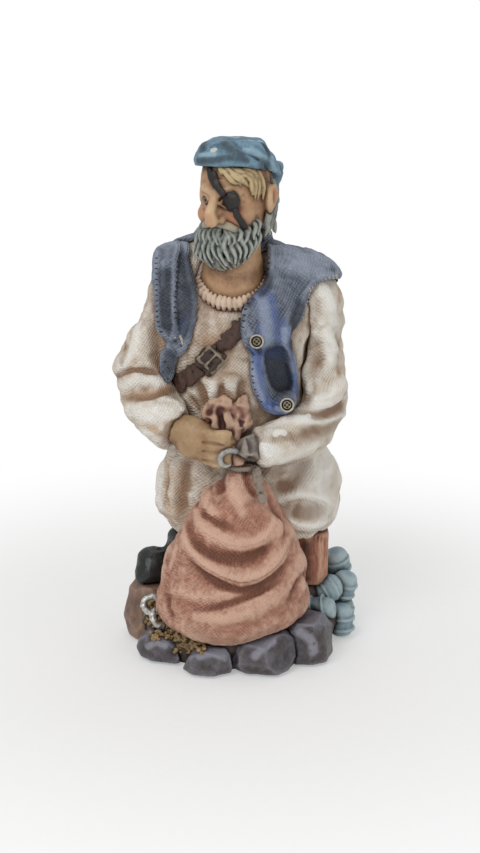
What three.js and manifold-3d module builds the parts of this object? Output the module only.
// A painted resin pirate who grips a sack of loot on a rocky base.
// Millimetres, +Z up. The pirate faces -Y, so his right side is at -X.
// The origin is the middle of the felt's underside.
import * as THREE from "three";
import { ConvexGeometry } from "three/addons/geometries/ConvexGeometry.js";
import { mergeVertices } from "three/addons/utils/BufferGeometryUtils.js";
import Module from "manifold-3d";

const wasm = await Module();
wasm.setup();

// Fits between neighbours
const seam = 0.3; // the gap that each piece keeps to the piece set into it
const beyond = 80; // a cutter this long reaches past everything

// Base
const feltThick = 1;
const feltHalfWide = 37;
const feltHalfDeep = 31;
const groundTop = 14; // heights of the figure are counted from here
const groundHalfWide = 38;
const groundHalfDeep = 34;
const moundRise = 8; // the back of the ground stands higher than its front
const moundFront = -7;
const cobbleRadius = 5.6;

// Figure
const pegRadius = 7.3;
const pegTaper = 0.94; // foot radius as a share of the top's
const pegAt = [28.6, 6];
const bootAnkleRadius = 6.2;
const bootFootLong = 21;
const sackHalfWide = 30;
const sackHalfDeep = 21.5;
const sackHeight = 66;
const sackFold = 2.6; // how far a fold stands out of the sack
const sackNeckRadius = 5.2;
const tieRadius = 1.3;
const hemHeight = 30;
const shoulderHeight = 134;
const hemHalfWide = 36;
const hemHalfDeep = 21.5;
const chestHalfWide = 26;
const chestHalfDeep = 18.5;
const sleeveRadius = 11.2;
const wristRadius = 7.6;
const vestThick = 2.4;
const vestSplit = 5; // the seam between the vest's fronts and its back, as a depth
const collarRadius = 13.2;
const collarBand = 2.3;
const collarTilt = 38; // degrees, lower in front
const neckRadius = 10;
const headHalfWide = 12.8;
const headHalfDeep = 15.6;
const headHalfHigh = 19.5;
const headRise = 30; // the head's middle above the shoulders
const headTurn = -30; // degrees, towards the pirate's right
const headNod = 5; // degrees, forward
const capThick = 1.6;
const capBrim = 9.5; // above the head's middle
const capSlope = 16; // degrees, the brim falls to the back
const patchHalfWide = 4.6;
const strapHalfWide = 1.3;
const beltWide = 5.4;
const beltThick = 1.5;
const buckleSide = 9;
const buttonRadius = 2.8;
const buttonThick = 1.6;
const hookRadius = 1.25;
const bangleRadius = 3.3;
const bangleThick = 0.95;
const coinRadius = 1.9;
const coinThick = 0.8;

const colours = {
  felt: 0x2c3a2e,
  rock: 0x5a5350,
  brownRock: 0x7a5a4a,
  cobble: 0x6f8a8c,
  soil: 0x5c5048,
  sack: 0xb07d68,
  rope: 0x8d8474,
  shirt: 0xcdbfa8,
  vest: 0x66779a,
  skin: 0xcfa27c,
  beard: 0x8e958c,
  cap: 0x5e7f8c,
  leather: 0x4a2e27,
  patch: 0x2a2b30,
  boot: 0x25292a,
  wood: 0x8a5945,
  silver: 0xb9bcbd,
  gold: 0xa17a3c,
};

const finish = (colour, roughness = 0.6, metalness = 0) =>
  new THREE.MeshStandardMaterial({ color: colours[colour], roughness, metalness });

// Shapes

// Rings of points, from the first end to the last, closed by a fan at each end.
function skin(rings) {
  const sides = rings[0].length;
  const points = rings.flat();
  const middle = (ring) => {
    const sum = ring.reduce((total, p) => total.add(p), new THREE.Vector3());
    return sum.divideScalar(ring.length);
  };
  const first = points.push(middle(rings[0])) - 1;
  const last = points.push(middle(rings[rings.length - 1])) - 1;
  const faces = [];
  for (let r = 0; r < rings.length - 1; r++) {
    for (let s = 0; s < sides; s++) {
      const a = r * sides + s;
      const b = r * sides + ((s + 1) % sides);
      faces.push(a, b, b + sides, a, b + sides, a + sides);
    }
  }
  const lastRing = (rings.length - 1) * sides;
  for (let s = 0; s < sides; s++) {
    const next = (s + 1) % sides;
    faces.push(first, next, s);
    faces.push(last, lastRing + s, lastRing + next);
  }
  const geometry = new THREE.BufferGeometry().setFromPoints(points);
  geometry.setIndex(faces);
  return geometry;
}

// A smooth value through a list of numbers, at share t of the way along it.
function smoothAt(values, t) {
  const last = values.length - 1;
  const place = Math.min(t * last, last - 1e-9);
  const i = Math.floor(place);
  const u = place - i;
  const [a, b, c, d] = [-1, 0, 1, 2].map((k) => values[Math.min(Math.max(i + k, 0), last)]);
  const bend = 2 * a - 5 * b + 4 * c - d;
  return b + 0.5 * u * (c - a + u * (bend + u * (3 * (b - c) + d - a)));
}

// A body of level sections. Each level is [height, x, y, half width, half depth, rise per mm of x, of y].
function column(levels, { sides = 28, rings = 18, corner = 2, grow = 0, ripple = () => 0 } = {}) {
  const at = (t, k) => smoothAt(levels.map((level) => level[k] ?? 0), t);
  const made = [];
  for (let r = 0; r <= rings; r++) {
    const t = r / rings;
    const [z, x, y, wide, deep, riseX, riseY] = [0, 1, 2, 3, 4, 5, 6].map((k) => at(t, k));
    const ring = [];
    for (let s = 0; s < sides; s++) {
      const angle = (2 * Math.PI * s) / sides;
      const [c, d] = [Math.cos(angle), Math.sin(angle)];
      const out = grow + ripple(angle, z);
      const px = (wide + out) * Math.sign(c) * Math.abs(c) ** (2 / corner);
      const py = (deep + out) * Math.sign(d) * Math.abs(d) ** (2 / corner);
      ring.push(new THREE.Vector3(x + px, y + py, z + riseX * px + riseY * py));
    }
    made.push(ring);
  }
  return skin(made);
}

// A limb along a smooth line. Each station is [x, y, z, half width, half thickness].
// The thickness is measured along flat, and each end is domed by its share of the radius.
function limb(
  stations,
  { flat = [0, 1, 0], sides = 12, rings = 10, domes = [0.6, 0.6], ripple = () => 0 } = {}
) {
  const line = new THREE.CatmullRomCurve3(stations.map(([x, y, z]) => new THREE.Vector3(x, y, z)));
  const thin = new THREE.Vector3(...flat).normalize();
  const made = [];
  const ringAt = (t, push, share) => {
    const along = line.getTangent(t);
    const across = new THREE.Vector3().crossVectors(thin, along).normalize();
    const up = new THREE.Vector3().crossVectors(along, across);
    const wide = smoothAt(stations.map((s) => s[3]), t) * share;
    const thick = smoothAt(stations.map((s) => s[4] ?? s[3]), t) * share;
    const centre = line.getPoint(t).addScaledVector(along, push);
    return Array.from({ length: sides }, (_, s) => {
      const angle = (2 * Math.PI * s) / sides;
      const out = ripple(angle, t) * share;
      const point = centre.clone().addScaledVector(across, (wide + out) * Math.cos(angle));
      return point.addScaledVector(up, (thick + out) * Math.sin(angle));
    });
  };
  const domed = [0.35, 0.75];
  const endRadius = (station) => Math.min(station[3], station[4] ?? station[3]);
  const start = domes[0] * endRadius(stations[0]);
  const finishLength = domes[1] * endRadius(stations[stations.length - 1]);
  if (domes[0]) domed.forEach((u) => made.push(ringAt(0, -start * (1 - u * u), Math.sqrt(u))));
  for (let r = 0; r <= rings; r++) made.push(ringAt(r / rings, 0, 1));
  if (domes[1]) {
    const closing = [...domed].reverse();
    closing.forEach((u) => made.push(ringAt(1, finishLength * (1 - u * u), Math.sqrt(u))));
  }
  return skin(made);
}

const ball = (x, y, z, wide, deep, high, sides = 14) =>
  new THREE.SphereGeometry(1, sides, Math.round(sides * 0.7))
    .rotateX(Math.PI / 2)
    .scale(wide, deep, high)
    .translate(x, y, z);

// An upright wall of an outline seen from the front, from y = front to y = back.
function frontCutter(outline, front, back) {
  const shape = new THREE.Shape(outline.map(([x, z]) => new THREE.Vector2(x, z)));
  const settings = { depth: back - front, bevelEnabled: false, curveSegments: 8 };
  const made = new THREE.ExtrudeGeometry(shape, settings);
  return made.rotateX(Math.PI / 2).translate(0, back, 0);
}

// Joining and cutting

function solid(geometry) {
  const bare = new THREE.BufferGeometry().setAttribute("position", geometry.getAttribute("position"));
  bare.setIndex(geometry.getIndex());
  const merged = mergeVertices(bare, 1e-4);
  return new wasm.Manifold(
    new wasm.Mesh({
      numProp: 3,
      vertProperties: merged.attributes.position.array,
      triVerts: new Uint32Array(merged.index.array),
    })
  );
}

function geometryOf(made) {
  const mesh = made.getMesh();
  const geometry = new THREE.BufferGeometry();
  geometry.setAttribute("position", new THREE.BufferAttribute(Float32Array.from(mesh.vertProperties), 3));
  geometry.setIndex(new THREE.BufferAttribute(Uint32Array.from(mesh.triVerts), 1));
  return geometry;
}

// The same surface, moved out by a distance along its own normals.
function swollen(geometry, by) {
  const positions = geometry.getAttribute("position").clone();
  const bare = new THREE.BufferGeometry().setAttribute("position", positions);
  bare.setIndex(geometry.getIndex());
  const merged = mergeVertices(bare, 1e-3);
  merged.computeVertexNormals();
  const place = merged.getAttribute("position");
  const normal = merged.getAttribute("normal");
  for (let i = 0; i < place.count; i++) {
    place.setXYZ(
      i,
      place.getX(i) + by * normal.getX(i),
      place.getY(i) + by * normal.getY(i),
      place.getZ(i) + by * normal.getZ(i)
    );
  }
  return merged;
}

const largest = (made) => made.decompose().sort((a, b) => b.volume() - a.volume())[0];
const joined = (...geometries) => geometryOf(geometries.map(solid).reduce((a, b) => a.add(b)));
const cut = (geometry, ...cutters) =>
  geometryOf(largest(cutters.reduce((left, c) => left.subtract(solid(c)), solid(geometry))));
const common = (a, b) => geometryOf(largest(solid(a).intersect(solid(b))));

const root = new THREE.Group();
const placed = [];

// Adds a piece, cut back by every piece that was placed before it.
// What carries goes first, and what lies on it later. A piece may be several shapes joined.
function place(name, shapes, material, lift = groundTop) {
  const lifted = [shapes].flat().map((shape) => shape.clone().translate(0, 0, lift));
  const whole = lifted.length > 1 ? joined(...lifted) : lifted[0];
  const box = new THREE.Box3().setFromBufferAttribute(whole.getAttribute("position"));
  const near = placed.filter((other) => other.box.intersectsBox(box));
  const cutters = near.flatMap((other) => other.cutters);
  const left = cutters.reduce((rest, cutter) => rest.subtract(cutter), solid(whole));
  placed.push({
    box: box.clone().expandByScalar(seam),
    cutters: lifted.map((shape) => solid(swollen(shape, seam))),
  });
  const mesh = new THREE.Mesh(geometryOf(largest(left)), material);
  mesh.name = name;
  root.add(mesh);
}

// Base pieces

// A little generator, so that the stones are the same at every build.
function dice(seed) {
  let state = seed * 7919;
  return () => {
    state = (state * 16807 + 11) % 2147483647;
    return state / 2147483647;
  };
}

// A split stone: a hull of jittered rings that is flat underneath.
// It stands at a share of the ground's half width and half depth.
function stone(shareX, shareY, wide, deep, rise, seed, topShare = 0.6, sharp = 0.14) {
  const roll = dice(seed);
  const corners = 8;
  const high = groundTop + rise - feltThick;
  const rings = [
    [0, 0.9],
    [0.35, 1],
    [0.75, 0.5 * (topShare + 1)],
    [1, topShare],
  ];
  const points = rings.flatMap(([up, share], r) =>
    Array.from({ length: corners }, (_, k) => {
      const angle = (2 * Math.PI * (k + 0.5 * roll())) / corners;
      const reach = share * (1 - sharp * roll());
      const sink = r === 0 ? 0 : 0.12 * high * roll() * (1 - topShare);
      return new THREE.Vector3(
        shareX * groundHalfWide + 0.5 * wide * reach * Math.cos(angle),
        shareY * groundHalfDeep + 0.5 * deep * reach * Math.sin(angle),
        feltThick + up * high - sink
      );
    })
  );
  return new ConvexGeometry(points);
}

function buildGround() {
  const levelsTo = (top, y, wide, deep) => [
    [feltThick, 0, y, wide - 4, deep - 3],
    [feltThick + 0.3 * (top - feltThick), 0, y, wide, deep],
    [feltThick + 0.8 * (top - feltThick), 0, y, wide, deep],
    [top, 0, y, wide - 4, deep - 3],
  ];
  const moundDepth = 0.5 * (groundHalfDeep - moundFront);
  const front = column(levelsTo(groundTop, 0, groundHalfWide, groundHalfDeep), { sides: 20, rings: 4 });
  const moundMiddle = groundHalfDeep - moundDepth;
  const moundLevels = levelsTo(groundTop + moundRise, moundMiddle, groundHalfWide - 2, moundDepth);
  const mound = column(moundLevels, { sides: 20, rings: 4, corner: 2.6 });
  place("ground", [front, mound], finish("soil", 0.7), 0);
  const felt = new THREE.Shape();
  felt.absellipse(0, 0, feltHalfWide, feltHalfDeep, 0, 2 * Math.PI);
  const pad = new THREE.ExtrudeGeometry(felt, { depth: feltThick, bevelEnabled: false, curveSegments: 14 });
  const mesh = new THREE.Mesh(pad, finish("felt", 0.95));
  mesh.name = "felt_pad";
  root.add(mesh);
}

function buildRocks() {
  const rock = finish("rock", 0.55);
  const brown = finish("brownRock", 0.6);
  place("rock_front_centre", stone(0.23, -0.84, 31, 26, 1, 3, 0.72), rock, 0);
  place("rock_front_left", stone(0.64, -0.54, 28, 30, 3.5, 5, 0.74), rock, 0);
  place("rock_front_middle", stone(-0.3, -0.9, 25, 22, -3.5, 8, 0.74), rock, 0);
  place("rock_front_right", stone(-0.7, -0.52, 31, 26, -2, 11, 0.74), rock, 0);
  place("rock_right_side", stone(-0.88, 0.16, 27, 33, moundRise + 1, 14, 0.8, 0.1), brown, 0);
  place("rock_right_back", stone(-0.76, 0.74, 27, 26, 3, 17), brown, 0);
  place("rock_back_right", stone(-0.27, 0.94, 29, 22, 5, 20), rock, 0);
  place("rock_back_middle", stone(0.26, 0.98, 27, 20, 2.5, 23), rock, 0);
  place("rock_back_left", stone(0.72, 0.84, 28, 24, 4, 26), rock, 0);
}

// A short round block with two shallow bands, standing on its end.
function banded(radius, high) {
  const half = high / 2;
  const profile = [
    [0, -half],
    [0.74, -half],
    [0.96, -0.7 * half],
    [1, -0.38 * half],
    [0.86, -0.24 * half],
    [1.02, -0.08 * half],
    [1, 0.28 * half],
    [0.86, 0.4 * half],
    [0.97, 0.56 * half],
    [0.68, half],
    [0, half],
  ];
  const points = profile.map(([share, z]) => new THREE.Vector2(share * radius, z));
  return new THREE.LatheGeometry(points, 10).rotateX(Math.PI / 2);
}

function buildCobbles() {
  // The blocks that stand on the felt: share of the ground's half width, depth, radius share, top
  const standing = [
    [1.07, 1, 0.86, groundTop - 0.7],
    [1.09, 11.5, 0.94, groundTop - 1.5],
    [1.02, 21.5, 1.06, groundTop + 3],
  ];
  standing.forEach(([share, y, size, top], k) => {
    const block = banded(size * cobbleRadius, top - feltThick);
    const middle = 0.5 * (top + feltThick);
    place(`cobble_${k + 1}`, block.translate(share * groundHalfWide, y, middle), finish("cobble", 0.6), 0);
  });
  // The blocks piled on them: share, depth, height above the ground, radius share, height, lean in degrees
  const piled = [
    [0.84, -6.5, 0.2, 0.96, 11.5, 78, 12],
    [1.11, 9.5, 4.6, 0.9, 11, 14, 8],
    [0.92, 4.5, 4.6, 0.98, 11.5, 68, -24],
    [1.04, 17.5, 11.6, 0.98, 11, -16, 10],
  ];
  piled.forEach(([share, y, z, size, high, side, front], k) => {
    const block = banded(size * cobbleRadius, high);
    block.rotateX(THREE.MathUtils.degToRad(front)).rotateY(THREE.MathUtils.degToRad(side));
    block.translate(share * groundHalfWide, y, z);
    place(`cobble_${standing.length + k + 1}`, block, finish("cobble", 0.6));
  });
}

// Legs, heights from the ground's front

function buildLegs() {
  const legTop = hemHeight + 8; // both legs are let into the shirt's hem
  const peg = new THREE.CylinderGeometry(pegRadius, pegTaper * pegRadius, legTop - moundRise - seam, 8);
  peg.rotateX(Math.PI / 2).rotateZ(Math.PI / 8);
  peg.translate(...pegAt, 0.5 * (legTop + moundRise + seam));
  place("peg_leg", peg, finish("wood", 0.6));
  const sole = moundRise + 1;
  const shaft = limb(
    [
      [-20, 9, legTop, bootAnkleRadius + 1.6],
      [-21.5, 8.5, sole + 20, bootAnkleRadius + 1],
      [-23.5, 8, sole + 12, bootAnkleRadius],
      [-23, 7.5, sole + 6, bootAnkleRadius + 0.6],
    ],
    { sides: 10, rings: 5, domes: [0, 0.5] }
  );
  const toe = [-18.5 - bootFootLong, 0.5];
  const foot = limb(
    [
      [-19, 9, sole + 4.6, 5.2, 5],
      [-26, 6.5, sole + 5, 5.6, 5.6],
      [-33, 3, sole + 4, 5.6, 4.6],
      [...toe, sole + 3.4, 4.6, 3.6],
    ],
    { flat: [0, 0, 1], sides: 10, rings: 5, domes: [0.7, 0.8] }
  );
  place("boot", [shaft, foot], finish("boot", 0.4));
}

// The sack and its tie

const grip = [1, -21, sackHeight]; // the middle of the tied neck

// Drape folds: the angle and height of each fold's lowest point, its rise to the sides, width and strength.
const drapes = [
  [-1.35, 38, 20, 3.6, 0.9],
  [-1.2, 27, 20, 4, 1.1],
  [-1.35, 15.5, 18, 3.8, 1],
  [-1.9, 6, 8, 3.6, 0.8],
  [1.6, 32, 16, 4.4, 0.9],
  [1.4, 15, 14, 4.4, 0.9],
];

function sackRipple(angle, z) {
  const around = (from) => 1 - Math.cos(angle - from);
  const folds = drapes.map(([from, low, rise, wide, share]) => {
    const away = (z - low - rise * around(from)) / wide;
    return share * sackFold * Math.exp(-away * away) * Math.max(0, 1 - 0.42 * around(from));
  });
  const gathered = THREE.MathUtils.smoothstep(z, 0.68 * sackHeight, 0.95 * sackHeight);
  const pleat = 0.8 * Math.cos(9 * angle) * gathered;
  return folds.reduce((a, b) => a + b, 0) + pleat;
}

function buildTie() {
  const [x, y] = grip;
  const ringHeight = sackHeight - tieRadius;
  const ring = new THREE.TorusGeometry(sackNeckRadius, tieRadius, 6, 16).translate(x, y, ringHeight);
  // The end of the tie hangs over the front of the sack.
  const tail = limb(
    [
      [x + 5, y - 4.5, ringHeight, tieRadius],
      [x + 6.4, y - 6.8, ringHeight - 3, tieRadius + 0.2],
      [x + 6.2, y - 8.4, ringHeight - 6.5, tieRadius + 0.4],
      [x + 7.2, y - 9.6, ringHeight - 9.5, tieRadius + 0.6],
    ],
    { sides: 7, rings: 6 }
  );
  place("tie_end", tail, finish("rope", 0.8));
  place("sack_tie", ring, finish("rope", 0.8));
}

function buildSack() {
  const [x, y] = grip;
  const levels = [
    [-2, -2.5, -17, 0.84 * sackHalfWide, 0.86 * sackHalfDeep],
    [0.045 * sackHeight, -2.5, -17, sackHalfWide, sackHalfDeep],
    [0.15 * sackHeight, -2.5, -16.5, sackHalfWide, sackHalfDeep],
    [0.3 * sackHeight, -2.5, -16.5, 0.9 * sackHalfWide, 0.95 * sackHalfDeep],
    [0.45 * sackHeight, -2.2, -17, 0.8 * sackHalfWide, 0.87 * sackHalfDeep],
    [0.6 * sackHeight, -1.5, -17.5, 0.67 * sackHalfWide, 0.76 * sackHalfDeep],
    [0.74 * sackHeight, -0.6, -18.5, 0.5 * sackHalfWide, 0.62 * sackHalfDeep],
    [0.86 * sackHeight, 0.5, -20, 0.33 * sackHalfWide, 0.45 * sackHalfDeep],
    [0.94 * sackHeight, x, y, sackNeckRadius + 0.8, sackNeckRadius + 0.8],
    [sackHeight, x, y, sackNeckRadius, sackNeckRadius],
  ];
  // The gathered mouth flares above the tie, against the belly.
  const mouth = [
    [sackHeight + seam, x, y, sackNeckRadius - 0.4, sackNeckRadius - 0.4],
    [sackHeight + 6, x - 1.5, y + 0.5, 5.6, 5.6],
    [sackHeight + 13, x - 4.5, y + 2, 7.4, 5.6],
    [sackHeight + 20, x - 6.5, y + 3, 8.4, 4.6],
    [sackHeight + 24, x - 6.5, y + 4, 7.8, 3.2],
  ];
  const ruffle = (angle, z) =>
    1.3 * Math.cos(6 * angle + 0.6) * THREE.MathUtils.smoothstep(z, sackHeight, sackHeight + 16);
  place("sack", column(levels, { sides: 18, rings: 22, ripple: sackRipple }), finish("sack", 0.75));
  place("sack_mouth", column(mouth, { sides: 14, rings: 5, ripple: ruffle }), finish("sack", 0.75));
}

function buildLoot() {
  const silver = finish("silver", 0.3, 0.8);
  const bangle = (tipX, tipY) =>
    new THREE.TorusGeometry(bangleRadius, bangleThick, 6, 14).rotateX(tipX).rotateY(tipY);
  const side = -2.5 - sackHalfWide;
  place("bangle_upper", bangle(1.25, 0.3).translate(side - 2, -14, 5.6), silver);
  place("bangle_lower", bangle(0.5, 0.9).translate(side + 1, -19.5, 2.4), silver);
  const roll = dice(4);
  const coin = (x, y, z) => {
    const disc = new THREE.CylinderGeometry(coinRadius, coinRadius, coinThick, 8);
    return disc.rotateX(Math.PI / 2 + roll() - 0.5).rotateY(roll() - 0.5).translate(x, y, z);
  };
  const heapOf = (count, from, to, spread) => {
    const coins = Array.from({ length: count }, (_, k) => {
      const t = k / (count - 1);
      const [x, y, z] = from.map((f, i) => f + t * (to[i] - f) + spread[i] * (roll() - 0.5));
      return coin(x, y, z);
    });
    const core = limb([[...from, 2.6, 1.8], [...to, 2, 1.2]], { flat: [0, 0, 1], sides: 8, rings: 2 });
    return [core, ...coins];
  };
  const gold = finish("gold", 0.45, 0.5);
  place("coin_heap", heapOf(5, [side - 2, -9.5, 1.5], [side + 2, -20.5, -2.5], [3.5, 2.5, 3]), gold);
  place("coin_spill", heapOf(4, [side + 6, -26, -3.5], [side + 16, -34, -4.5], [2, 2.2, 1.6]), gold);
}

// The shirt

const upBody = (share) => hemHeight + share * (shoulderHeight - hemHeight);

// From the hem up to the neck. The shoulders slope down to the pirate's left, the neck hole to the front.
const torso = [
  [upBody(0), 4.2, 9, 0.88 * hemHalfWide, 0.91 * hemHalfDeep],
  [upBody(0.05), 4, 9, 0.98 * hemHalfWide, hemHalfDeep],
  [upBody(0.155), 4, 8.5, hemHalfWide, hemHalfDeep],
  [upBody(0.29), 3, 7, 0.92 * hemHalfWide, 0.91 * hemHalfDeep],
  [upBody(0.42), 1.5, 5, 1.04 * chestHalfWide, 0.95 * chestHalfDeep],
  [upBody(0.54), -0.5, 3, 0.97 * chestHalfWide, chestHalfDeep],
  [upBody(0.67), -0.5, 2.5, chestHalfWide, chestHalfDeep],
  [upBody(0.81), 0, 3, 1.09 * chestHalfWide, 0.95 * chestHalfDeep, -0.04],
  [upBody(0.92), 0.5, 4.5, 1.13 * chestHalfWide, 0.84 * chestHalfDeep, -0.1, 0.1],
  [upBody(1), 0.5, 5.5, 1.06 * chestHalfWide, 0.7 * chestHalfDeep, -0.16, 0.12],
  [shoulderHeight + 6, 0, 6.5, 0.9 * chestHalfWide, 0.57 * chestHalfDeep, -0.16, 0.2],
  [shoulderHeight + 9.5, -1, 7.5, 0.6 * chestHalfWide, 0.42 * chestHalfDeep, -0.12, 0.2],
];
const hemFlute = (angle, z) =>
  1.5 * Math.cos(8 * angle + 0.8) * (1 - THREE.MathUtils.smoothstep(z, upBody(0.04), upBody(0.4)));
// The knitted collar, the neck inside it and the vest's neck edge share one tilted axis.
const tiltNeck = (geometry, lift) =>
  geometry.rotateX(THREE.MathUtils.degToRad(collarTilt)).translate(-3, -0.5, shoulderHeight + lift);
const torsoShape = (grow) => column(torso, { sides: 20, rings: 13, corner: 2.3, grow, ripple: hemFlute });

const [gripX, gripY, gripZ] = grip;
const sleeveTop = chestHalfWide - 6;
const sleeves = {
  right: [
    [-sleeveTop + 2, 6.5, shoulderHeight + 2, sleeveRadius - 1.5],
    [-sleeveTop - 3, 6, shoulderHeight - 8, sleeveRadius - 0.5],
    [-sleeveTop - 6.5, 5, shoulderHeight - 18, sleeveRadius],
    [-sleeveTop - 12, 3.5, shoulderHeight - 29, sleeveRadius],
    [-sleeveTop - 17.5, 1, shoulderHeight - 39, sleeveRadius],
    [-sleeveTop - 14, -6, gripZ + 20, sleeveRadius - 0.4],
    [gripX - 29, gripY + 9, gripZ + 13.5, sleeveRadius - 1],
    [gripX - 23.5, gripY + 5, gripZ + 10.5, wristRadius + 2],
  ],
  left: [
    [sleeveTop, 6.5, shoulderHeight - 1, sleeveRadius - 2],
    [sleeveTop + 6, 6, shoulderHeight - 10, sleeveRadius],
    [sleeveTop + 7.5, 5, shoulderHeight - 24, sleeveRadius + 0.4],
    [sleeveTop + 9, 4, shoulderHeight - 39, sleeveRadius + 0.8],
    [sleeveTop + 10, 1, gripZ + 17, sleeveRadius + 0.8],
    [gripX + 23, gripY + 13, gripZ + 9.5, sleeveRadius],
    [gripX + 13, gripY + 4.5, gripZ + 6, wristRadius + 2],
    [gripX + 4.6, gripY - 1, gripZ + 5, wristRadius],
  ],
};
function upperSleeve(side, grow) {
  const stations = sleeves[side].slice(0, 4).map(([x, y, z, radius]) => [x, y, z, radius + grow]);
  return limb(stations, { sides: 10, rings: 4, domes: [0.5, 0] });
}

function buildHands() {
  const at = (x, y, z, ...radii) => [gripX + x, gripY + y, gripZ + z, ...radii];
  const hook = limb(
    [
      at(-1.6, -4.8, 5.4, hookRadius),
      at(-4.6, -6.6, 6.4, hookRadius),
      at(-7.6, -7.4, 5.4, hookRadius),
      at(-8.4, -7.8, 2.8, hookRadius),
      at(-6.8, -8, 0.7, 0.85 * hookRadius),
      at(-4.4, -7.6, 1.2, 0.5 * hookRadius),
    ],
    { sides: 7, rings: 11, domes: [0, 1] }
  );
  place("hook", hook, finish("silver", 0.35, 0.8));
  const cup = limb(
    [
      at(6, -1, 6.2, wristRadius - 2.4),
      at(2, -3, 6.4, wristRadius - 3.2),
      at(-1, -4.6, 5.8, wristRadius - 4.6),
    ],
    { sides: 10, rings: 4, domes: [0, 0.4] }
  );
  place("hook_cup", cup, finish("patch", 0.5, 0.3));
  // The right hand closes on the neck of the sack.
  const fingerRadius = 2.3;
  const finger = (k) => {
    const z = 12.2 - 1.6 * fingerRadius * k;
    return limb(
      [
        at(-16, 3, z, fingerRadius),
        at(-11.4, -3.8, z, fingerRadius),
        at(-7.2, -5.6, z, fingerRadius),
        at(-4.6, -4, z, 0.85 * fingerRadius),
      ],
      { sides: 6, rings: 3, domes: [0, 0.6] }
    );
  };
  const palm = limb(
    [
      at(-25, 5.5, 12, 6.4, 6),
      at(-18.5, 2, 9.2, 7.8, 6.2),
      at(-14, 0.5, 7.6, 7.6, 5),
      at(-10.5, -0.4, 6.8, 6.2, 4.2),
    ],
    { flat: [0.3, 1, 0], sides: 8, rings: 3, domes: [0, 0.5] }
  );
  place("right_hand", [palm, ...[0, 1, 2, 3].map(finger)], finish("skin", 0.55));
}

function buildSleeves() {
  const creases = (angle, t) => 0.5 * Math.cos(26 * t + 2 * Math.sin(angle));
  const cloth = finish("shirt", 0.8);
  const options = { sides: 12, rings: 11, ripple: creases };
  place("right_sleeve", limb(sleeves.right, { ...options, domes: [0.5, 0] }), cloth);
  place("left_sleeve", limb(sleeves.left, { ...options, domes: [0.5, 0.3] }), cloth);
}

// A place on the chest: its side in hundredths of the half width, to the pirate's left, and
// its drop in hundredths of the way from the shoulders down to the sack's neck.
const onChest = ([side, drop]) => [
  0.01 * side * chestHalfWide,
  shoulderHeight - 0.01 * drop * (shoulderHeight - sackHeight),
];

// A strap on the chest is a slice of the grown body, and the shirt itself cuts its underside.
const layOnChest = (outline, thick) => common(torsoShape(thick), frontCutter(outline, -beyond, vestSplit));

function strip([x1, z1], [x2, z2], wide) {
  const long = Math.hypot(x2 - x1, z2 - z1);
  const [nx, nz] = [(-0.5 * wide * (z2 - z1)) / long, (0.5 * wide * (x2 - x1)) / long];
  return [
    [x1 + nx, z1 + nz],
    [x1 - nx, z1 - nz],
    [x2 - nx, z2 - nz],
    [x2 + nx, z2 + nz],
  ];
}

function buildBelt() {
  const [top, middle, end] = [[6, 23], [-44, 44], [-94, 61.5]].map(onChest);
  const leather = finish("leather", 0.6);
  const half = 0.5 * buckleSide;
  const slope = Math.atan2(middle[1] - end[1], middle[0] - end[0]);
  const [dx, dz] = [half * Math.cos(slope), half * Math.sin(slope)];
  const from = [middle[0] - dx, middle[1] - dz];
  const to = [middle[0] + dx, middle[1] + dz];
  const plate = layOnChest(strip(from, to, buckleSide), beltThick + 1.2);
  place("belt_buckle", plate, finish("silver", 0.4, 0.7));
  place("belt_upper", layOnChest(strip(to, top, beltWide), beltThick), leather);
  place("belt_lower", layOnChest(strip(end, from, beltWide), beltThick), leather);
}

// The vest

const vestOutlines = {
  left: [
    [35, -12],
    [33, 4.5],
    [6, 17.5],
    [0, 25],
    [6, 34],
    [15.5, 42.5],
    [15.5, 54.5],
    [33, 70.5],
    [69, 73.5],
    [86.5, 64.5],
    [82, 51.5],
    [78, 34],
    [90.5, 20.5],
    [102.5, 6.5],
    [119, 1.5],
    [150, 3],
    [150, -41],
    [23, -41],
  ],
  right: [
    [-57.5, -17.5],
    [-71, -6],
    [-61.5, 7.5],
    [-60.5, 17.5],
    [-69, 34],
    [-89.5, 45.5],
    [-106, 48.5],
    [-113.5, 35.5],
    [-123, 25],
    [-131, 12],
    [-138.5, -10],
    [-138.5, -41],
    [-46, -41],
  ],
  back: [
    [-115, 70.5],
    [119, 73.5],
    [108, 37],
    [138, 12],
    [142, -41],
    [-131, -41],
    [-135, 0],
    [-104, 37],
  ],
};
const buttonsAt = {
  upper: onChest([24, 32.5]),
  lower: onChest([67.5, 67.5]),
};

// The depth of the body's front, this far out from the shirt.
function chestFront(x, z, out) {
  const t = (z - hemHeight) / (shoulderHeight - hemHeight);
  const middle = THREE.MathUtils.lerp(2.5, 4.5, THREE.MathUtils.clamp((t - 0.67) / 0.25, 0, 1));
  const side = Math.min(Math.abs(x) / (chestHalfWide + out), 1);
  return middle - (chestHalfDeep + out) * (1 - side ** 2.3) ** (1 / 2.3);
}

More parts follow.
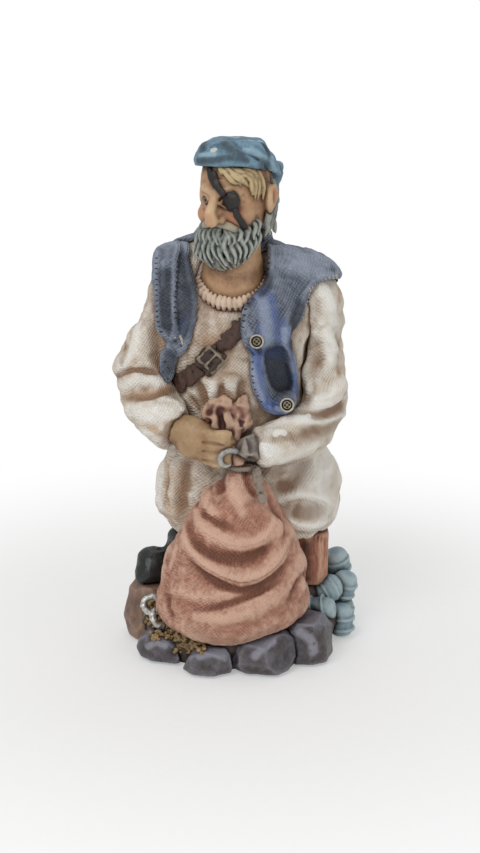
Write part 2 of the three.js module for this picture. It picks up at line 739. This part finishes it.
function buildVest() {
  const cloth = finish("vest", 0.85);
  const button = ([x, z], lift) => {
    const disc = new THREE.CylinderGeometry(0.86 * buttonRadius, buttonRadius, buttonThick, 12);
    return disc.rotateX(0.12).translate(x, chestFront(x, z, vestThick + lift) - 0.3 * buttonThick, z);
  };
  const rollLift = 3.4;
  place("button_upper", button(buttonsAt.upper, 1), finish("silver", 0.4, 0.7));
  place("button_lower", button(buttonsAt.lower, rollLift + 1), finish("silver", 0.4, 0.7));

  const shoulders = ["right", "left"].map((side) => upperSleeve(side, vestThick));
  const outer = joined(torsoShape(vestThick), ...shoulders);
  const panel = (outline, from, to) => common(outer, frontCutter(outline.map(onChest), from, to));
  const [ux, uz] = buttonsAt.upper;
  const [lx, lz] = buttonsAt.lower;
  const bossRadius = 1.6 * buttonRadius;
  const boss = ball(ux, chestFront(ux, uz, vestThick) + 1, uz, bossRadius, 3, bossRadius, 10);
  const rollFront = chestFront(lx, lz, vestThick + rollLift);
  const roll = limb(
    [
      [lx - 1, rollFront + 9, lz - 0.5, 4.4],
      [lx, rollFront, lz, 1.35 * buttonRadius],
    ],
    { flat: [1, 0, 0], sides: 10, rings: 2, domes: [0, 0.3] }
  );
  // The neck edge stands up round the nape, clear of the neck, and is open in front.
  const edgeRadius = collarRadius + 0.3;
  const standing = new THREE.TorusGeometry(edgeRadius, 1.25, 6, 20).scale(1, 1, 3.2);
  const opening = new THREE.BoxGeometry(beyond, beyond, beyond).translate(0, -6 - 0.5 * beyond, 0);
  const neckEdge = tiltNeck(cut(standing, opening), 7).translate(0.5, 4.5, 0);
  place("vest_back", [panel(vestOutlines.back, vestSplit + seam, beyond), neckEdge], cloth);
  place("vest_front_left", [panel(vestOutlines.left, -beyond, vestSplit), boss, roll], cloth);
  const tabTop = onChest([-81, 41]);
  const tabMiddle = onChest([-96, 48.5]);
  const tabEnd = onChest([-106, 56.5]);
  const tab = limb(
    [
      [tabTop[0], chestFront(...tabTop, 1), tabTop[1], 3.6, 1.6],
      [tabMiddle[0], 0.5 * vestSplit - 11.5, tabMiddle[1], 3.8, 2.2],
      [tabEnd[0], 0.5 * vestSplit - 10.5, tabEnd[1], 2.8, 2],
    ],
    { sides: 8, rings: 4 }
  );
  place("vest_front_right", [panel(vestOutlines.right, -beyond, vestSplit), tab], cloth);
}

function buildCollar() {
  const ring = new THREE.TorusGeometry(collarRadius, collarBand, 6, 20).scale(1, 1, 1.5);
  place("knit_collar", tiltNeck(ring, -1.5), finish("shirt", 0.9));
}

// The head, with its own middle as origin and the face towards -Y

const headAt = [-1, -3, shoulderHeight + headRise];
function inHead(geometry) {
  geometry.rotateX(THREE.MathUtils.degToRad(headNod)).rotateZ(THREE.MathUtils.degToRad(headTurn));
  return geometry.translate(...headAt);
}

// From the chin to the crown, as shares of the head's half sizes; the shift is the section's depth.
const skull = [
  [-1, -6, 0.36, 0.3],
  [-0.87, -5.5, 0.58, 0.52],
  [-0.67, -4, 0.74, 0.7],
  [-0.4, -2, 0.86, 0.85],
  [-0.1, -0.5, 0.95, 0.96],
  [0.2, 0, 1, 1],
  [0.5, 0.5, 0.99, 0.99],
  [0.78, 1, 0.83, 0.82],
  [0.93, 1.5, 0.56, 0.54],
  [1, 1.5, 0.2, 0.2],
].map(([z, y, wide, deep]) => [z * headHalfHigh, 0, y, wide * headHalfWide, deep * headHalfDeep]);

// A point of the head's surface: the angle is 0 straight ahead and grows to the pirate's left.
function onHead(angle, z, out = 0) {
  const t = [...Array(101).keys()].map((k) => k / 100);
  const heights = skull.map((level) => level[0]);
  const miss = (share) => Math.abs(smoothAt(heights, share) - z);
  const near = t.reduce((a, b) => (miss(b) < miss(a) ? b : a));
  const [y, wide, deep] = [2, 3, 4].map((k) => smoothAt(skull.map((level) => level[k]), near));
  const a = THREE.MathUtils.degToRad(angle);
  return [(wide + out) * Math.sin(a), y - (deep + out) * Math.cos(a), z];
}

const skullShape = () => column(skull, { sides: 14, rings: 10, corner: 2.1 });

function buildHead() {
  const ear = (side) => {
    const [x, y, z] = onHead(side * 92, -1, 0.2);
    return ball(x + side * 0.6, y + 1.2, z, 1.9, 3.4, 5.2, 8);
  };
  const nose = limb(
    [
      [...onHead(0, 3.5, -0.6), 1.5],
      [...onHead(0, -1, 1.4), 2],
      [...onHead(0, -4.6, 2.4), 2.7],
    ],
    { sides: 8, rings: 4 }
  );
  // The neck's sections turn from the collar's tilt to level under the jaw.
  const tilt = THREE.MathUtils.degToRad(collarTilt);
  const neckFoot = [collarRadius, collarRadius * Math.cos(tilt), 0, Math.tan(tilt)];
  const neck = column(
    [
      [shoulderHeight - 8, -3, 1.5, ...neckFoot],
      [shoulderHeight - 1.5, -3, -0.5, ...neckFoot],
      [shoulderHeight + 5, -2.5, -0.5, neckRadius + 1, neckRadius, 0, 0.5 * Math.tan(tilt)],
      [shoulderHeight + 13, -2, -0.5, neckRadius, neckRadius, 0, 0.25 * Math.tan(tilt)],
      [shoulderHeight + 24, -1, -1, neckRadius - 1, neckRadius - 1],
    ],
    { sides: 12, rings: 5 }
  );
  place("head", [...[skullShape(), nose, ear(1), ear(-1)].map(inHead), neck], finish("skin", 0.5));
}

function buildHeadwear() {
  const hair = finish("beard", 0.7);
  const dark = finish("patch", 0.5);
  const strap = (points) =>
    limb(points.map(([angle, z]) => [...onHead(angle, z, 0.1), strapHalfWide, 0.8]), {
      sides: 6,
      rings: 5,
      flat: [0.3, -1, 0],
    });
  const patch = ball(...onHead(23, 1, 0), patchHalfWide, 1.8, 0.9 * patchHalfWide, 12);
  place("eye_patch", inHead(patch), dark);
  place("patch_strap_upper", inHead(strap([[-4, 11], [2, 8], [13, 4.5]])), dark);
  place("patch_strap_lower", inHead(strap([[34, -2], [46, -7], [56, -13]])), dark);
  place("eye", inHead(ball(...onHead(-22, 0.5, -1.2), 2, 2, 1.7, 10)), finish("silver", 0.3));

  const moustache = limb(
    [
      [...onHead(-40, -10.5, 0.4), 1.2],
      [...onHead(-17, -8.2, 0.8), 2],
      [...onHead(0, -7.2, 0.9), 1.9],
      [...onHead(17, -8.2, 0.8), 2],
      [...onHead(40, -10.5, 0.4), 1.2],
    ],
    { sides: 7, rings: 8 }
  );
  place("moustache", inHead(moustache), hair);
  const beardArc = limb(
    [
      [...onHead(-98, -8, 0), 2, 1.6],
      [...onHead(-80, -12, 1.4), 3.6, 2.6],
      [...onHead(-52, -17, 3.4), 5.6, 3.8],
      [0, -13, -20, 7.4, 5],
      [...onHead(52, -17, 3.4), 5.6, 3.8],
      [...onHead(80, -12, 1.4), 3.6, 2.6],
      [...onHead(98, -8, 0), 2, 1.6],
    ],
    { sides: 7, rings: 9, flat: [0, -1, 0.35] }
  );
  const chin = ball(-0.8, -12.8, -17.8, 14.8, 7, 9.2, 10);
  place("beard", [beardArc, chin].map(inHead), hair);
  const nape = limb(
    [
      [...onHead(104, 2, 0), 2.6, 1.8],
      [...onHead(122, -5, 0.6), 4, 2.4],
      [...onHead(150, -9, 1), 5.2, 2.8],
      [...onHead(180, -10, 1.2), 5.6, 3],
      [...onHead(210, -9, 1), 5.2, 2.8],
      [...onHead(238, -5, 0.6), 4, 2.4],
      [...onHead(256, 2, 0), 2.6, 1.8],
    ],
    { sides: 6, rings: 8, flat: [0, 1, 0.2] }
  );

  const underBrim = new THREE.BoxGeometry(beyond, beyond, beyond).translate(0, 0, -0.5 * beyond);
  underBrim.rotateX(THREE.MathUtils.degToRad(-capSlope)).translate(0, 0, capBrim);
  // The cap is fuller at the top than the skull in it, as shares of the head's half sizes.
  const crown = [
    [0.2, 0, 1, 1],
    [0.55, 0.5, 1.01, 1],
    [0.8, 0.9, 0.95, 0.94],
    [0.98, 1.3, 0.8, 0.78],
    [1.06, 1.5, 0.42, 0.4],
  ].map(([z, y, wide, deep]) => [z * headHalfHigh, 0, y, wide * headHalfWide, deep * headHalfDeep]);
  const capOuter = column(crown, { sides: 14, rings: 7, corner: 2.2, grow: capThick });
  const knotAt = onHead(150, capBrim - 4, capThick + 0.6);
  const fold = limb(
    [
      [...onHead(60, capBrim + 7, capThick), 2.2],
      [...onHead(95, capBrim + 3.5, capThick), 2.6],
      [...onHead(125, capBrim - 1, capThick), 2.6],
      [...knotAt, 2.2],
    ],
    { sides: 6, rings: 5 }
  );
  const knot = limb(
    [
      [knotAt[0] + 1.5, knotAt[1] - 1, knotAt[2] + 3.5, 2.8],
      [...knotAt, 3.2],
      [knotAt[0] - 1.5, knotAt[1] + 1.6, knotAt[2] - 6, 2.6, 1.8],
      [knotAt[0] - 1, knotAt[1] + 1, knotAt[2] - 12, 3.2, 1.4],
    ],
    { sides: 8, rings: 7 }
  );
  place("cap_knot", inHead(knot), finish("cap", 0.7));
  place("cap", [cut(capOuter, underBrim), fold].map(inHead), finish("cap", 0.7));
  place("nape_hair", inHead(nape), hair);
}

buildGround();
buildRocks();
buildCobbles();
buildHead();
place("shirt", torsoShape(0), finish("shirt", 0.8));
buildLegs();
buildHands();
buildTie();
buildSack();
buildLoot();
buildHeadwear();
buildCollar();
buildSleeves();
buildBelt();
buildVest();

export default root;
